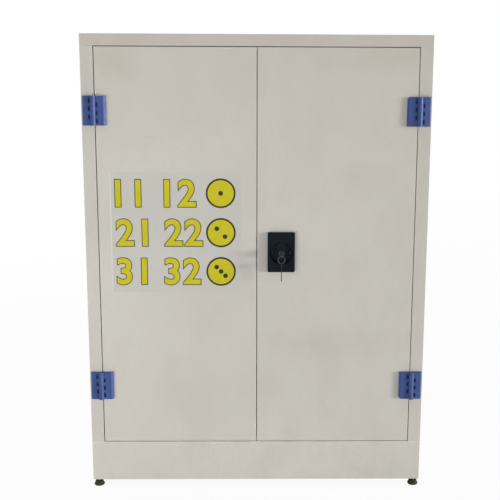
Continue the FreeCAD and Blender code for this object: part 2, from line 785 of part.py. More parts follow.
def pinion():
    """The toothed wheel between the two racks."""
    pitch_radius = size_sheet.get("pitch_radius")
    backlash = size_sheet.get("backlash")
    base = pitch_radius * math.cos(math.radians(flank_degrees))
    tip = pitch_radius + size_sheet.get("rack_tip")
    root = pitch_radius - size_sheet.get("rack_root") + backlash
    half_tooth = math.pi / 2 / pinion_teeth_count - backlash / pitch_radius
    lean = half_tooth + involute(base, pitch_radius)
    start = max(base, root)
    flank = []
    for step in range(flank_steps_count + 1):
        radius = start + (tip - start) * step / flank_steps_count
        flank.append((radius, lean - involute(base, radius)))
    side = [(root, lean)] + flank if root < base else flank
    tooth = [(radius, -angle) for radius, angle in side]
    tooth += [(radius, angle) for radius, angle in reversed(side)]
    points = []
    for number in range(pinion_teeth_count):
        middle = 2 * math.pi * number / pinion_teeth_count
        for radius, angle in tooth:
            turned = middle + angle
            points.append(FreeCAD.Vector(radius * math.cos(turned), 0,
                                         radius * math.sin(turned)))
    outline = Part.Face(Part.makePolygon(points + points[:1]))
    thick = size_sheet.get("rod_thickness")
    wheel = outline.extrude(FreeCAD.Vector(0, thick, 0))
    side = size_sheet.get("spindle_side")
    hole = Part.makeBox(side, thick, side, FreeCAD.Vector(-side / 2, 0, -side / 2))
    made = doc.addObject("Part::Feature", "pinion")
    made.Shape = wheel.cut(hole)
    place(made, "lock_x", "front_face + hub_end", "lock_z")
    parts.append(made)


def rod(name, x, length, turn):
    """A flat rod with a rack at the pinion, rising from the lock before it is turned."""
    made = piece(name, x, "rod_y", "lock_z", turn)
    half = "rod_width / 2"
    points = [(f"-{half}", "-rack_tail"), (half, "-rack_tail")]
    tip = f"{half} + rack_root + rack_tip"
    for number in range(rack_teeth_count):
        centre = f"({number + rack_ahead_count - rack_teeth_count} + 1 / 2) * rack_pitch"
        points.append((half, f"{centre} - rack_half_root"))
        points.append((tip, f"{centre} - rack_half_tip"))
        points.append((tip, f"{centre} + rack_half_tip"))
        points.append((half, f"{centre} + rack_half_root"))
    points += [(half, length), (f"-{half}", length)]
    pad(made, "XZ", [points], "-rod_thickness / 2", "rod_thickness / 2")
    parts.append(made)


def lock_case():
    """The box behind the door that closes over the pinion and both racks."""
    made = piece("lock_case", "lock_x", "front_face", "door_middle")
    half = "case_width / 2"
    tall = "case_height / 2"
    pad(made, "XZ", [rect(f"-{half}", f"-{tall}", half, tall)], "sheet", "case_back")
    inner = rect(f"-{half} + case_wall", f"-{tall} + case_wall", f"{half} - case_wall",
                 f"{tall} - case_wall")
    pocket(made, "XZ", [inner], "sheet - overrun", "case_inside")
    slot_end = "rod_centre + rod_slot_depth / 2"
    for sway, low, high in (
        ("-", f"{tall} - case_wall - overrun", f"{tall} + overrun"),
        ("", f"-{tall} - overrun", f"-{tall} + case_wall + overrun"),
    ):
        slot = rect(f"{sway}rod_offset - rod_slot_width / 2", "sheet - overrun",
                    f"{sway}rod_offset + rod_slot_width / 2", slot_end)
        pocket(made, "XY", [slot], low, high)
    holes = [disc(f"{sway}plate_screw_x", f"{lift}plate_screw_z", "shank_radius")
             for sway in ("-", "") for lift in ("-", "")]
    holes.append(disc("0", "-dish_drop", "spindle_side / 2 + running_gap"))
    pocket(made, "XZ", holes, "case_inside - overrun", "case_back + overrun")
    parts.append(made)
    screws = []
    for sway in ("-", "+"):
        for lift in ("-", "+"):
            name = "case_screw_" + ("near" if sway == "-" else "far")
            name += "_low" if lift == "-" else "_high"
            screws.append(
                screw(name, f"lock_x {sway} plate_screw_x",
                      "front_face + case_back + case_head_height",
                      f"door_middle {lift} plate_screw_z", "case_head_radius",
                      "case_head_height", "case_screw_length", half_turn_up))
    parts.append(group("lock_case_screws", screws))


def slotted_block(name, x, y, z, width, depth, height, hole):
    """A block with one hole straight up through it, about the middle of its foot."""
    made = piece(name, x, y, z)
    outline = rect(f"-({width}) / 2", f"-({depth}) / 2", f"({width}) / 2", f"({depth}) / 2")
    pad(made, "XY", [outline, hole], "0", height)
    return made


def rod_guides():
    """Four slotted blocks welded behind the door that keep the rods straight."""
    guides = []
    width = "rod_width + 2 * guide_wall"
    for tag, x, near, far in (
        ("upper", "lock_x - rod_offset", "lock_z + guide_near", "door_top - guide_inset"),
        ("lower", "lock_x + rod_offset", "lock_z - guide_near", "door_bottom + guide_inset"),
    ):
        for step, z in (("near", near), ("far", far)):
            guides.append(
                slotted_block(f"guide_{tag}_{step}", x, "rod_y", z + " - guide_height / 2",
                              width, "door_frame_depth", "guide_height", rod_slot("0", "0")))
    parts.append(group("rod_guides", guides))


def keepers():
    """Four drilled blocks behind the rail and the plinth that the rods and bolts enter."""
    bolt_hole = disc("0", "0", "bolt_radius + rod_clearance")
    made = []
    for tag, x, z, hole in (
        ("top_right", "lock_x - rod_offset", "rail_bottom", rod_slot("0", "0")),
        ("bottom_right", "lock_x + rod_offset", "plinth_top - keeper_height",
         rod_slot("0", "0")),
        ("top_left", "bolt_x", "rail_bottom", bolt_hole),
        ("bottom_left", "bolt_x", "plinth_top - keeper_height", bolt_hole),
    ):
        made.append(
            slotted_block("keeper_" + tag, x, "rod_y", z, "keeper_width",
                          "door_frame_depth", "keeper_height", hole))
    parts.append(group("bolt_keepers", made))


def slide_bolts():
    """The passive door's two hand bolts, measured from the door's end inwards."""
    housings = []
    for level, z, turn in (("upper", "door_top", unturned),
                           ("lower", "door_bottom", half_turn_front)):
        box = piece("housing_" + level, "bolt_x", "rod_y", z, turn)
        low = "-housing_inset - housing_length"
        high = "-housing_inset"
        half = "housing_width / 2"
        deep = "door_frame_depth / 2"
        pad(box, "XY", [rect(f"-{half}", f"-{deep}", half, deep),
                        disc("0", "0", "bolt_radius + bolt_clearance")], low, high)
        stem = "knob_stem_radius + rod_clearance"
        slot = rect(f"-({stem})", f"-knob_inset - ({stem})", stem,
                    f"bolt_travel - knob_inset + {stem}")
        pocket(box, "XZ", [slot], "0", f"{deep} + overrun")
        housings.append(box)
        bolt = piece("slide_bolt_" + level, "bolt_x", "rod_y", z, turn)
        pad(bolt, "XY", [disc("0", "0", "bolt_radius")], "-rod_setback - bolt_length",
            "-rod_setback")
        stem_end = f"{deep} + knob_rise"
        pad(bolt, "XZ", [disc("0", "-knob_inset", "knob_stem_radius")], "0", stem_end)
        pad(bolt, "XZ", [disc("0", "-knob_inset", "knob_head_radius")], stem_end,
            f"{stem_end} + knob_head_height")
        parts.append(bolt)
    parts.append(group("bolt_housings", housings))


def trays():
    """Lipped spill trays that slide on ledges welded to the sides."""
    ledges = []
    for level in range(tray_count):
        rise = f"first_tray_z + {level} * tray_pitch"
        tray = piece(f"spill_tray_{level + 1}", "-tray_width / 2", "tray_front", rise)
        wall = "tray_wall"
        outer = rect("0", "0", "tray_width", "tray_depth")
        inner = rect(wall, wall, f"tray_width - {wall}", f"tray_depth - {wall}")
        pad(tray, "XY", [outer], "0", "tray_height")
        pocket(tray, "XY", [inner], wall, "tray_height + overrun")
        lip = rect("0", "-tray_lip", "tray_width", "0")
        pad(tray, "XY", [lip], "tray_height - tray_lip_thickness", "tray_height")
        parts.append(tray)
        for side, x in (("left", "-inner_half"), ("right", "inner_half - ledge_width")):
            ledges.append(
                block(f"ledge_{side}_{level + 1}", x, "ledge_front",
                      f"{rise} - ledge_thickness", "ledge_width", "ledge_length",
                      "ledge_thickness"))
    parts.append(group("tray_ledges", ledges))


def feet():
    """Four levelling feet, and the blind blocks that their studs screw into."""
    sockets = []
    hexagon = []
    for number in range(hexagon_count):
        turn = 2 * math.pi * number / hexagon_count
        hexagon.append((f"foot_hex_radius * {math.cos(turn):.6f}",
                        f"foot_hex_radius * {math.sin(turn):.6f}"))
    profile = [("0", "0"), ("foot_radius - foot_edge", "0"), ("foot_radius", "foot_edge"),
               ("foot_radius", "foot_pad - foot_edge"), ("foot_radius - foot_edge", "foot_pad"),
               ("foot_neck_radius", "foot_cone_top"), ("0", "foot_cone_top")]
    for row, y in (("front", "foot_front_y"), ("back", "foot_back_y")):
        for side, sign in (("left", "-"), ("right", "")):
            foot = piece(f"foot_{row}_{side}", f"{sign}foot_x", y, "0")
            turned = foot.newObject("PartDesign::Revolution", foot.Name + "_turned")
            drawn = sketch(foot, "XZ", [profile], "0")
            turned.Profile = drawn
            turned.ReferenceAxis = (drawn, ["V_Axis"])
            turned.Angle = 360
            pad(foot, "XY", [hexagon], "foot_cone_top", "foot_hex_top")
            pad(foot, "XY", [disc("0", "0", "stud_radius")], "foot_hex_top",
                "floor_top + stud_rise")
            parts.append(foot)
            low = "-inner_half" if side == "left" else "inner_half - socket_width"
            socket = piece(f"socket_{row}_{side}", low, y, "floor_top")
            deep = "stop_depth / 2"
            pad(socket, "XY", [rect("0", f"-{deep}", "socket_width", deep)], "0",
                "socket_height")
            centre = f"{sign}foot_x - ({low})"
            pocket(socket, "XY", [disc(centre, "0", "stud_radius + running_gap")],
                   "-overrun", "socket_bore")
            sockets.append(socket)
    parts.append(group("foot_sockets", sockets))


foot_rows = ("foot_front_y", "foot_back_y")
screw_rows = [f"hinge_{level}_z {way} hinge_screw_z" for level in ("upper", "lower")
              for way in ("-", "+")]

carcass()
stiles()
beads()
hinges()
door("left")
door("right")
lock_plate()
turn_grip()
lock_cylinder()
key("key", "key_y", "lock_z", unturned)
key("spare_key", "key_y", "spare_z", nose_down)
key_ring()
spindle()
pinion()
rod("upper_rod", "lock_x - rod_offset", "upper_rod_length", unturned)
rod("lower_rod", "lock_x + rod_offset", "lower_rod_length", half_turn_front)
lock_case()
rod_guides()
keepers()
slide_bolts()
trays()
feet()
doc.recompute()

failed = [made.Name for made in doc.Objects if set(made.State) & {"Invalid", "Error"}]
failed += [made.Name for made in parts if made.Shape.isNull() or not made.Shape.isValid()]
if failed:
    raise RuntimeError("not built: " + ", ".join(failed))

os.makedirs("parts", exist_ok=True)
for made in parts:
    made.Shape.exportStep(f"parts/{made.Label}.step")
print(len(parts), "nodes")
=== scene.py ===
import math

import bmesh
import bpy
from mathutils import Matrix, Vector


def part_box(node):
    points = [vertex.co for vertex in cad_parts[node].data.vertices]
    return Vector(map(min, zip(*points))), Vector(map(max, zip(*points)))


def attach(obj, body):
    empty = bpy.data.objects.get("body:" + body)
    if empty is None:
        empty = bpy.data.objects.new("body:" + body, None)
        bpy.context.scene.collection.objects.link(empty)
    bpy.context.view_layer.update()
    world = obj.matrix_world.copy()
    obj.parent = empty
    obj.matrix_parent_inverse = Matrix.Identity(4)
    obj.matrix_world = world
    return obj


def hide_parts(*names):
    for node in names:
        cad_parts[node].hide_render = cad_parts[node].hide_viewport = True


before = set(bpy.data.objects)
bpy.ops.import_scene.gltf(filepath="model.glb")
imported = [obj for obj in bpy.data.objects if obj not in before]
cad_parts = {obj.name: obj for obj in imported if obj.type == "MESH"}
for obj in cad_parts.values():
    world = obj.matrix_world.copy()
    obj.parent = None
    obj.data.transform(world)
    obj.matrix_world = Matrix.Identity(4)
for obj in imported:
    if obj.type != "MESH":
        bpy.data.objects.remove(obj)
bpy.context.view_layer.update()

# The photographer's corner: a pale floor that runs off into white, one large lamp far off
# to the right, weaker ones before and behind, and a camera at chest height.
front_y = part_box("top_rail")[0].y
camera_place = Vector((0.0003, front_y - 2.2882, 1.07687))
camera_turn = math.radians(0.866)
camera_tilt = math.radians(10.204)
camera_roll = math.radians(0.24)
camera_lens = 63.36
camera_shift = -0.04
sensor_width = 36
cabinet_middle = Vector((0, 0, 0.65))
floor_reach = 60.0
shadow_share = 0.94
shadow_near = 2.0
shadow_far = 8.0
air_strength = 0.42

ahead = Vector((math.sin(camera_turn) * math.cos(camera_tilt),
                math.cos(camera_turn) * math.cos(camera_tilt), -math.sin(camera_tilt)))
sideways = Vector((math.cos(camera_turn), -math.sin(camera_turn), 0))
above = sideways.cross(ahead)
right_hand = math.cos(camera_roll) * sideways + math.sin(camera_roll) * above
top_hand = math.cos(camera_roll) * above - math.sin(camera_roll) * sideways

camera = bpy.data.objects.new("camera", bpy.data.cameras.new("camera"))
bpy.context.scene.collection.objects.link(camera)
camera.data.lens = camera_lens
camera.data.sensor_width = sensor_width
camera.data.shift_x = camera_shift
camera.matrix_world = Matrix((
    (right_hand.x, top_hand.x, -ahead.x, camera_place.x),
    (right_hand.y, top_hand.y, -ahead.y, camera_place.y),
    (right_hand.z, top_hand.z, -ahead.z, camera_place.z),
    (0, 0, 0, 1),
))
bpy.context.scene.camera = camera
bpy.context.scene.view_settings.view_transform = "Standard"


def paint(red, green, blue):
    """A colour read off a paint card in 0 to 255 steps, as the shaders want it."""
    steps = [value / 255 for value in (red, green, blue)]
    return tuple(((v + 0.055) / 1.055) ** 2.4 if v > 0.04045 else v / 12.92
                 for v in steps) + (1.0,)


class Finish:
    """A finish mixed from nodes: its material, its shader and ways to add to both."""

    def __init__(self, name, **shader):
        self.material = bpy.data.materials.new(name)
        self.material.use_nodes = True
        self.tree = self.material.node_tree
        self.shader = self.tree.nodes["Principled BSDF"]
        self.place = self.add("TexCoord").outputs["Object"]
        for socket, value in shader.items():
            self.shader.inputs[socket.replace("_", " ")].default_value = value

    def add(self, kind, settings=(), sockets=()):
        """One more node. A socket is given a value or another node's output."""
        node = self.tree.nodes.new("ShaderNode" + kind)
        for name, value in dict(settings).items():
            setattr(node, name, value)
        for name, value in dict(sockets).items():
            socket = next(s for s in node.inputs if s.identifier == name)
            if isinstance(value, bpy.types.NodeSocket):
                self.tree.links.new(value, socket)
            else:
                socket.default_value = value
        return node

    def noise(self, scale, detail=3.0, stretch=(1, 1, 1), rough=0.5):
        """Cloudy variation, so many patches to the metre, drawn out along an axis."""
        place = self.place
        if stretch != (1, 1, 1):
            place = self.add("Mapping", sockets={
                "Vector": place, "Scale": stretch}).outputs["Vector"]
        return self.add("TexNoise", sockets={
            "Vector": place, "Scale": scale, "Detail": detail,
            "Roughness": rough}).outputs["Fac"]

    def spread(self, value, low, high, out_low=0.0, out_high=1.0):
        """Stretches a value so that low to high becomes out_low to out_high."""
        return self.add("MapRange", sockets={
            "Value": value, "From Min": low, "From Max": high, "To Min": out_low,
            "To Max": out_high}).outputs["Result"]

    def mixed(self, amount, first, second):
        """A colour between two, by amount."""
        return self.add("Mix", {"data_type": "RGBA"}, {
            "Factor_Float": amount, "A_Color": first, "B_Color": second}).outputs["Result"]

    def maths(self, first, second, kind="ADD"):
        """The sum of two values, or what another kind of arithmetic makes of them."""
        return self.add("Math", {"operation": kind}, {
            "Value": first, "Value_001": second}).outputs["Value"]

    def near(self, spot, reach):
        """1 at a spot of the object, falling to 0 at its reach along each axis."""
        shifted = self.add("Mapping", {"vector_type": "TEXTURE"}, {
            "Vector": self.place, "Location": spot, "Scale": reach}).outputs["Vector"]
        length = self.add("VectorMath", {"operation": "LENGTH"}, {
            "Vector": shifted}).outputs["Value"]
        return self.spread(length, 0.15, 1.0, 1.0, 0.0)

    def show(self, socket, value):
        """Gives the shader a colour or a value."""
        self.tree.links.new(value, self.shader.inputs[socket])

    def relief(self, height, depth, strength=1.0):
        """Raises the surface by height times depth, in metres."""
        bump = self.add("Bump", sockets={
            "Height": height, "Distance": depth, "Strength": strength})
        self.tree.links.new(bump.outputs["Normal"], self.shader.inputs["Normal"])


floor_shape = bpy.data.meshes.new("studio_floor")
half_floor = floor_reach / 2
floor_shape.from_pydata([(-half_floor, -half_floor, 0), (half_floor, -half_floor, 0),
                         (half_floor, half_floor, 0), (-half_floor, half_floor, 0)],
                        [], [(0, 1, 2, 3)])
studio_floor = bpy.data.objects.new("studio_floor", floor_shape)
bpy.context.scene.collection.objects.link(studio_floor)

paper = Finish("studio_paper", Base_Color=paint(250, 250, 250), Roughness=0.9)
seen = paper.add("LightPath")
seen_any = paper.maths(seen.outputs["Is Camera Ray"], seen.outputs["Is Transmission Ray"])
far_off = paper.add("VectorMath", {"operation": "LENGTH"}, {
    "Vector": paper.place}).outputs["Value"]
seen_share = paper.maths(
    seen_any, paper.spread(far_off, shadow_near, shadow_far, shadow_share, 1.0), "MULTIPLY")
glow = paper.add("Emission", sockets={"Color": (1, 1, 1, 1), "Strength": 1.0})
paper_mix = paper.add("MixShader", sockets={
    "Fac": seen_share, "Shader": paper.shader.outputs["BSDF"],
    "Shader_001": glow.outputs["Emission"]})
paper.tree.links.new(paper_mix.outputs["Shader"],
                     paper.tree.nodes["Material Output"].inputs["Surface"])
floor_shape.materials.append(paper.material)

world = bpy.data.worlds.new("studio_air")
world.use_nodes = True
bpy.context.scene.world = world
air = world.node_tree
air_light = air.nodes["Background"]
air_light.inputs["Color"].default_value = (0.96, 0.98, 1.0, 1)
air_light.inputs["Strength"].default_value = air_strength
air_seen = air.nodes.new("ShaderNodeBackground")
air_seen.inputs["Color"].default_value = (1, 1, 1, 1)
air_seen.inputs["Strength"].default_value = 1.0
air_path = air.nodes.new("ShaderNodeLightPath")
air_ray = air.nodes.new("ShaderNodeMath")
air_ray.operation = "MAXIMUM"
air.links.new(air_path.outputs["Is Camera Ray"], air_ray.inputs[0])
air.links.new(air_path.outputs["Is Transmission Ray"], air_ray.inputs[1])
air_mix = air.nodes.new("ShaderNodeMixShader")
air.links.new(air_ray.outputs["Value"], air_mix.inputs["Fac"])
air.links.new(air_light.outputs["Background"], air_mix.inputs[1])
air.links.new(air_seen.outputs["Background"], air_mix.inputs[2])
air.links.new(air_mix.outputs["Shader"], air.nodes["World Output"].inputs["Surface"])


def lamp(name, place, width, height, watts, tint, shines=True):
    """A flat soft lamp turned to face the middle of the cabinet. One that doesn't shine
    gives light but no bright spot on plastic or metal."""
    light = bpy.data.lights.new(name, "AREA")
    light.shape = "RECTANGLE"
    light.size = width
    light.size_y = height
    light.energy = watts
    light.color = tint
    made = bpy.data.objects.new(name, light)
    bpy.context.scene.collection.objects.link(made)
    made.location = place
    made.visible_glossy = shines
    aim = cabinet_middle - Vector(place)
    made.rotation_euler = aim.to_track_quat("-Z", "Y").to_euler()


lamp("key_lamp", (18.5, -7.1, 1.5), 4.4, 2.6, 3000, (1.0, 0.99, 0.98))
lamp("front_lamp", (-2.0, -2.7, 0.2), 1.6, 0.3, 30, (1.0, 1.0, 1.0), False)
lamp("back_lamp", (-4.5, 6.5, 3.2), 4.0, 3.0, 330, (1.0, 1.0, 1.0), False)

# The body is butt-welded from extruded polypropylene sheet, 8 mm for the walls and 12 mm
# for the floor. The sawn edges are scraped, which leaves a small round on each.
sheet_pale = paint(203, 199, 190)
sheet_deep = paint(196, 192, 184)
# The dust colours serve the smears and mottling, and also the painted shade toward the top.
sheet_dust_and_shade = paint(187, 182, 172)
rail_pale = paint(200, 195, 188)
rail_deep = paint(194, 189, 182)
plinth_pale = paint(208, 204, 195)
plinth_deep = paint(201, 197, 189)
rail_dust_and_shade = paint(188, 181, 172)
rail_painted_shade = paint(184, 176, 166)
# Near white, for the painted light along the plinth's top edge in the seam under the doors.
seam_light_white = paint(250, 248, 244)
speck_brown = paint(150, 144, 132)
sawn_edge = 0.0006
same_point = 2e-6
same_plane = 0.5
cloud_scale = 2.3
smear_scale = 9
patch_scale = 16
rough_scale = 28
mottle_scale = 130
pebble_scale = 620
speck_scale = 900
wave_scale = 7.0
wave_share = 1.5
pebble_depth = 0.0001
# Heights, in metres, over which the sheet darkens toward the top: painted shade.
top_shade_low = 0.7
top_shade_high = 1.2


def eased(node, body, edge, finish, steps=2, sharp=30):
    """The piece that stands for a CAD node, with its sharp edges scraped round."""
    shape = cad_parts[node].data.copy()
    shape.name = node + "_piece"
    work = bmesh.new()
    work.from_mesh(shape)
    bmesh.ops.remove_doubles(work, verts=work.verts[:], dist=same_point)
    bmesh.ops.dissolve_limit(work, angle_limit=math.radians(same_plane),
                             verts=work.verts[:], edges=work.edges[:])
    crisp = [e for e in work.edges
             if len(e.link_faces) == 2 and e.calc_face_angle() > math.radians(sharp)]
    bmesh.ops.bevel(work, geom=crisp, offset=edge, offset_type="OFFSET", segments=steps,
                    profile=0.5, affect="EDGES", clamp_overlap=True)
    bmesh.ops.recalc_face_normals(work, faces=work.faces[:])
    work.to_mesh(shape)
    work.free()
    shape.materials.clear()
    shape.materials.append(finish)
    for face in shape.polygons:
        face.use_smooth = True
    shape.set_sharp_from_angle(angle=math.radians(sharp))
    made = bpy.data.objects.new(node + "_piece", shape)
    bpy.context.scene.collection.objects.link(made)
    flat = made.modifiers.new("flat_faces", "WEIGHTED_NORMAL")
    flat.keep_sharp = True
    flat.weight = 100
    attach(made, body)
    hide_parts(node)
    return made


def sheet_finish(name, pale, deep, dust_and_top_shade, marks=()):
    """Matt extruded sheet: broad cloudiness, smears and mottling toward the dust colour, a
    darkening toward that colour at the top that is painted shade, a fine pebbled skin. Marks are
    patches of colour, among them painted shade and painted light: a spot, its reach, a colour
    and how strong it is."""
    made = Finish(name, Specular_IOR_Level=0.3)
    cloud = made.spread(made.noise(cloud_scale, 4.0), 0.32, 0.68)
    base = made.mixed(cloud, deep, pale)
    height = made.add("SeparateXYZ", sockets={"Vector": made.place}).outputs["Z"]
    # Mixing toward the dust colour with height darkens the top: painted shade.
    colour = made.mixed(made.spread(height, top_shade_low, top_shade_high, 0.0, 0.5), base, dust_and_top_shade)
    smear = made.noise(smear_scale, 6.0, (1, 1, 0.6), 0.62)
    colour = made.mixed(made.spread(smear, 0.46, 0.66, 0.0, 0.4), colour, dust_and_top_shade)
    # Each mark mixes its colour in over a patch; some marks are painted shade and one is painted
    # light.
    for spot, reach, patch_colour, strength in marks:
        patch = made.maths(made.near(spot, reach), made.noise(patch_scale, 6.0), "MULTIPLY")
        colour = made.mixed(made.spread(patch, 0.08, 0.6, 0.0, strength), colour, patch_colour)
    mottle = made.noise(mottle_scale, 4.0, rough=0.65)
    colour = made.mixed(made.spread(mottle, 0.5, 0.72, 0.0, 0.35), colour, dust_and_top_shade)
    speck = made.spread(made.noise(speck_scale, 2.0), 0.62, 0.74, 0.0, 0.10)
    made.show("Base Color", made.mixed(speck, colour, speck_brown))
    made.show("Roughness", made.spread(made.noise(rough_scale, 4.0), 0.3, 0.7, 0.55, 0.65))
    wave = made.maths(made.noise(wave_scale, 2.0), wave_share, "MULTIPLY")
    made.relief(made.maths(made.noise(pebble_scale, 3.0), wave), pebble_depth, 0.5)
    return made.material


body_sheet = sheet_finish("body_sheet", sheet_pale, sheet_deep, sheet_dust_and_shade)
# The brown patch at the left end of the rail is painted shade.
rail_shade_marks = (((-0.34, front_y, 1.20), (0.22, 0.1, 0.08), rail_painted_shade, 0.5),)
rail_sheet = sheet_finish("rail_sheet", rail_pale, rail_deep, rail_dust_and_shade, rail_shade_marks)
# The plinth's top front edge is painted near white: painted light in the seam below the doors.
plinth_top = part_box("plinth_front")[1].z
seam_painted_light = (((0, front_y, plinth_top), (10, 0.2, 0.0016), seam_light_white, 1.0),)
plinth_sheet = sheet_finish("plinth_sheet", plinth_pale, plinth_deep, sheet_dust_and_shade, seam_painted_light)
for board in ("bottom_panel", "back_panel", "side_panel_left", "side_panel_right",
              "top_panel", "sump_front", "door_stop", "stile_left", "stile_right"):
    eased(board, "cabinet", sawn_edge, body_sheet)
eased("plinth_front", "cabinet", sawn_edge, plinth_sheet)
eased("top_rail", "cabinet", sawn_edge, rail_sheet)

# The inside corners are closed with a bead of the same plastic, laid from a hot-air gun.
# Each bead is a little proud and rippled where the rod was pushed on.
bead_size = 0.0052
bead_ripple = 0.00035
bead_step = 0.0022
bead_wave = 2.4
bead_arc = 5
bead_belly = 0.80
bead_tip = 0.45
bead_tip_growth = 2.2 / 6
bead_pale = paint(206, 202, 192)
bead_deep = paint(192, 187, 174)
bead_gap = 0.018
socket_reach = 0.020

stop_low, stop_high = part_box("sump_front")
socket_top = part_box("foot_sockets")[1].z
inner_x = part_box("side_panel_right")[0].x
bead_floor = stop_low.z
bead_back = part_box("back_panel")[0].y
bead_front = stop_high.y
bead_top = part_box("top_panel")[0].z


def rippled_bead(work, start, finish, across, upward):
    """Lays one bead from start to finish in the corner between two directions."""
    run = finish - start
    rings = max(2, int(run.length / bead_step))
    last = None
    for number in range(rings + 1):
        size = bead_size + bead_ripple * math.sin(number * bead_wave)
        size *= min(1.0, bead_tip + bead_tip_growth * min(number, rings - number))
        centre = start + run * (number / rings)
        ring = [work.verts.new(centre)]
        for step in range(bead_arc + 1):
            turn = math.pi / 2 * step / bead_arc
            belly = bead_belly + (1 - bead_belly) * abs(math.cos(2 * turn))
            ring.append(work.verts.new(centre + across * (size * belly * math.cos(turn))
                                       + upward * (size * belly * math.sin(turn))))
        if last:
            for one in range(len(ring)):
                two = (one + 1) % len(ring)
                work.faces.new((last[one], last[two], ring[two], ring[one]))
        else:
            work.faces.new(ring)
        last = ring
    work.faces.new(reversed(last))


def new_piece(name, work, finish, body, sharp=35, covers=()):
    """Turns worked-up geometry into a piece that rides on a body."""
    bmesh.ops.recalc_face_normals(work, faces=work.faces[:])
    shape = bpy.data.meshes.new(name)
    work.to_mesh(shape)
    work.free()
    for face in shape.polygons:
        face.use_smooth = True
    shape.set_sharp_from_angle(angle=math.radians(sharp))
    shape.materials.append(finish)
    made = bpy.data.objects.new(name, shape)
    bpy.context.scene.collection.objects.link(made)
    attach(made, body)
    if covers:
        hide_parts(*covers)
    return made


bead_work = bmesh.new()
right, left = Vector((1, 0, 0)), Vector((-1, 0, 0))
forward, backward = Vector((0, -1, 0)), Vector((0, 1, 0))
upright, downward = Vector((0, 0, 1)), Vector((0, 0, -1))
for side, into in ((-1, right), (1, left)):
    edge = side * inner_x
    rippled_bead(bead_work, Vector((edge, bead_back, socket_top)),
                 Vector((edge, bead_back, bead_top)), into, forward)
    rippled_bead(bead_work, Vector((edge, bead_front + bead_size, bead_floor)),
                 Vector((edge, bead_back - bead_gap, bead_floor)), into, upright)
    rippled_bead(bead_work, Vector((edge, bead_front + bead_size, bead_top)),
                 Vector((edge, bead_back - bead_size, bead_top)), into, downward)
bead_end = inner_x - socket_reach
for place_y, place_z, across, lift in (
    (bead_back, bead_floor, forward, upright),
    (bead_front, bead_floor, backward, upright),
    (bead_back, bead_top, forward, downward),
):
    rippled_bead(bead_work, Vector((-bead_end, place_y, place_z)),
                 Vector((bead_end, place_y, place_z)), across, lift)
weld_plastic = Finish("weld_plastic", Specular_IOR_Level=0.5)
weld_plastic.show("Base Color", weld_plastic.mixed(
    weld_plastic.spread(weld_plastic.noise(60, 3.0), 0.35, 0.65), bead_pale, bead_deep))
weld_plastic.show("Roughness", weld_plastic.spread(
    weld_plastic.noise(150), 0.3, 0.7, 0.25, 0.45))
weld_plastic.relief(weld_plastic.noise(700), 0.0001, 0.5)
new_piece("weld_bead_runs", bead_work, weld_plastic.material, "cabinet", 60,
          ("weld_beads",))

# Blind blocks for the foot studs stand in the four corners of the floor, and three pairs
# of ledges carry the trays. All are offcuts of the body's sheet, welded on.
for fixture in ("foot_sockets", "tray_ledges", "bolt_keepers"):
    eased(fixture, "cabinet", sawn_edge, body_sheet)

# Four levelling feet: a moulded dark pad with a six-sided collar for the spanner, on a
# zinc-plated stud that screws up into its block.
mm = 0.001
foot_brown = paint(58, 52, 44)
foot_worn = paint(86, 78, 66)
zinc_bright = paint(206, 203, 195)
zinc_dull = paint(150, 149, 144)
pad_outline = [(0.0, 0.0), (11.6, 0.0), (12.9, 0.3), (13.7, 1.0), (14.0, 2.0), (14.0, 4.4),
               (13.6, 5.4), (12.8, 6.0), (12.0, 6.6), (11.2, 7.9), (11.0, 8.6), (9.0, 8.6)]
collar_reach = 11.5
collar_foot = 8.5
collar_top = 12.5
collar_bevel = 0.8
thread_start = 12.8
thread_clear = 1.5
stud_overlap = 0.5
stud_tip = 0.8
stud_sides = 24
stud_core = 3.45
stud_crest = 3.95
thread_rise = 1.25


def turned(work, centre, outline, steps=48, axes=(right, backward, upright)):
    """Spins an outline of (radius, height) about the last axis, closed at its ends."""
    first_axis, second_axis, spin_axis = axes
    rings = []
    for radius, height in outline:
        hub = centre + spin_axis * height
        if radius < 1e-9:
            rings.append([work.verts.new(hub)])
            continue
        rings.append([work.verts.new(
            hub + first_axis * (radius * math.cos(2 * math.pi * k / steps))
            + second_axis * (radius * math.sin(2 * math.pi * k / steps)))
            for k in range(steps)])
    for low, high in zip(rings, rings[1:]):
        for k in range(steps):
            after = (k + 1) % steps
            if len(low) == 1:
                work.faces.new((low[0], high[after], high[k]))
            elif len(high) == 1:
                work.faces.new((low[k], low[after], high[0]))
            else:
                work.faces.new((low[k], low[after], high[after], high[k]))
    for end in (rings[0], rings[-1]):
        if len(end) > 1:
            work.faces.new(end if end is rings[-1] else list(reversed(end)))


def hexagon_collar(work, centre, reach, low, high, bevel):
    """A six-sided collar with its corners turned off at both ends."""
    levels = ((low, reach - bevel), (low + bevel * 0.6, reach), (high - bevel * 0.6, reach),
              (high, reach - bevel))
    rings = [[work.verts.new(centre + Vector((
        size * math.cos(math.pi / 3 * k), size * math.sin(math.pi / 3 * k), level)))
        for k in range(6)] for level, size in levels]
    for first, second in zip(rings, rings[1:]):
        for k in range(6):
            work.faces.new((first[k], first[(k + 1) % 6], second[(k + 1) % 6], second[k]))
    work.faces.new(list(reversed(rings[0])))
    work.faces.new(rings[-1])


foot_plastic = Finish("foot_plastic", Specular_IOR_Level=0.3)
foot_plastic.show("Base Color", foot_plastic.mixed(
    foot_plastic.spread(foot_plastic.noise(160, 4.0), 0.45, 0.75), foot_brown, foot_worn))
foot_plastic.show("Roughness", foot_plastic.spread(foot_plastic.noise(90), 0.3, 0.7, 0.5, 0.75))
foot_plastic.relief(foot_plastic.noise(900), 0.0002, 0.6)

